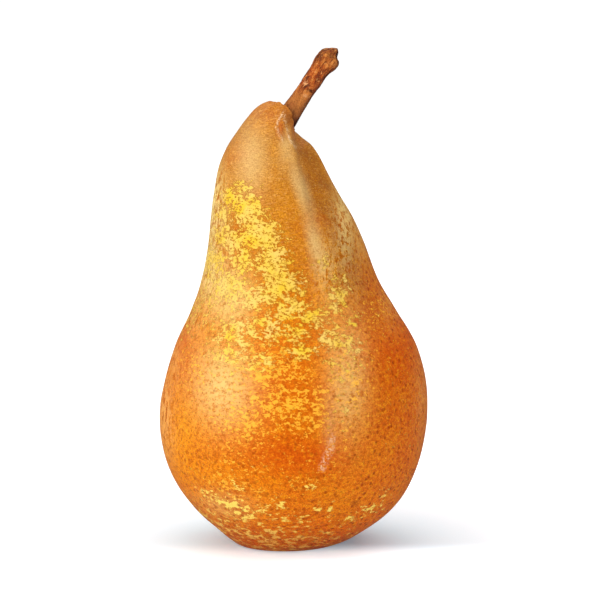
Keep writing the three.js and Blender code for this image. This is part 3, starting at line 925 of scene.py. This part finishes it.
def stamen_grid(turn, lean):
    """Points of one dry thread in the cup."""
    steps, sides = 8, 8
    t = np.linspace(0, 1, steps)[:, None]
    a = around(sides)
    thick = 0.11 - 0.03 * t + 0.1 * bump(t, 0.95, 0.2)
    out = 0.7 + lean * t + thick * np.cos(a)
    across = thick * np.sin(a) + 0.25 * np.sin(3 * t + turn)
    return from_base(out, across, 4.0 - 1.7 * t + 0 * a, turn)


def make_calyx():
    parts = [cup_grid()]
    for i in range(SEPALS):
        turn = TURN * (i + 0.15 * math.sin(2.3 * i)) / SEPALS + 0.3
        reach = 3.7 + 0.5 * math.sin(1.9 * i)
        droop = 2.5 + 0.4 * math.cos(2.7 * i)
        parts.append(sepal_grid(turn, reach, droop, 0.5 * math.sin(1.7 * i + 1)))
    for i in range(STAMENS):
        turn = TURN * i / STAMENS + 0.2 * math.sin(5 * i)
        parts.append(stamen_grid(turn, 0.35 + 0.3 * math.sin(3 * i)))
    objects = []
    for n, grid in enumerate(parts):
        objects.append(skin_object(f"calyx_{n}", grid, grid[0].mean(0), grid[-1].mean(0)))
    whole = objects[0]
    whole.name = "dried_calyx"
    with bpy.context.temp_override(active_object=whole, object=whole, selected_objects=objects,
                                   selected_editable_objects=objects):
        bpy.ops.object.join()
    whole.data.materials.append(sepal_material())
    return whole


# Stage
def make_floor():
    mesh = bpy.data.meshes.new("floor")
    corners = [(x * FLOOR_HALF, y * FLOOR_HALF, 0) for x, y in ((-1, -1), (1, -1), (1, 1), (-1, 1))]
    mesh.from_pydata(corners, [], [(0, 1, 2, 3)])
    floor = bpy.data.objects.new("floor", mesh)
    floor.location.z = FLOOR_Z
    bpy.context.collection.objects.link(floor)
    floor.data.materials.append(floor_material())
    floor.visible_glossy = False


def softbox(name, azimuth, elevation, distance, width, height, power):
    """Area light looking at the pear; azimuth 0 is in front, positive to the right."""
    data = bpy.data.lights.new(name, "AREA")
    data.shape = "RECTANGLE"
    data.size, data.size_y = width, height
    data.energy = power
    obj = bpy.data.objects.new(name, data)
    a, e = math.radians(azimuth), math.radians(elevation)
    obj.location = (distance * math.sin(a) * math.cos(e), -distance * math.cos(a) * math.cos(e),
                    LIGHT_AIM_Z + distance * math.sin(e))
    aim = Vector((0, 0, LIGHT_AIM_Z)) - obj.location
    obj.rotation_euler = aim.to_track_quat("-Z", "Y").to_euler()
    bpy.context.collection.objects.link(obj)


def make_world():
    """White to the eye, but dim where it only lights the pear."""
    world = bpy.data.worlds.new("studio")
    bpy.context.scene.world = world
    world.use_nodes = True
    tree = world.node_tree
    background = tree.nodes["Background"]
    background.inputs["Color"].default_value = (1, 1, 1, 1)
    seen = tree.nodes.new("ShaderNodeLightPath")
    strength = tree.nodes.new("ShaderNodeMapRange")
    strength.inputs["To Min"].default_value = WORLD_DIM
    strength.inputs["To Max"].default_value = WORLD_SEEN
    tree.links.new(seen.outputs["Is Camera Ray"], strength.inputs["Value"])
    tree.links.new(strength.outputs[0], background.inputs["Strength"])
    bpy.context.scene.view_settings.view_transform = "Standard"


def make_light():
    softbox("left_softbox", azimuth=-58, elevation=20, distance=0.9, width=0.14, height=0.65, power=4.7)
    softbox("right_strip", azimuth=42, elevation=14, distance=0.9, width=0.05, height=0.8, power=2.0)
    softbox("top_softbox", azimuth=0, elevation=90, distance=2.4, width=4.5, height=4.5, power=104)


def make_camera():
    data = bpy.data.cameras.new("camera")
    data.lens = LENS
    data.sensor_width = SENSOR
    camera = bpy.data.objects.new("camera", data)
    away = Vector((0, -math.cos(VIEW_UP), math.sin(VIEW_UP)))
    camera.location = AIM + VIEW_FAR * away
    camera.rotation_euler = (math.pi / 2 - VIEW_UP, 0, 0)
    bpy.context.collection.objects.link(camera)
    bpy.context.scene.camera = camera


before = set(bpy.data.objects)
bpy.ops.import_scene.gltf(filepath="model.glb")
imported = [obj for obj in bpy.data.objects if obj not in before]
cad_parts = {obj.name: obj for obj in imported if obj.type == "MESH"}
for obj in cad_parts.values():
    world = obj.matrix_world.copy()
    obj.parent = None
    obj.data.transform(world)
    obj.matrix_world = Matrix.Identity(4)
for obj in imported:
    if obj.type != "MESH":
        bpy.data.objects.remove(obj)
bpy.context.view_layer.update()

for make, node, slot in ((make_fruit, "fruit", "skin"), (make_stem, "stem", "stem_bark"),
                         (make_calyx, "calyx", "dried_calyx")):
    piece = make()
    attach(piece, "root")
    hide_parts(node)

make_floor()
make_world()
make_light()
make_camera()
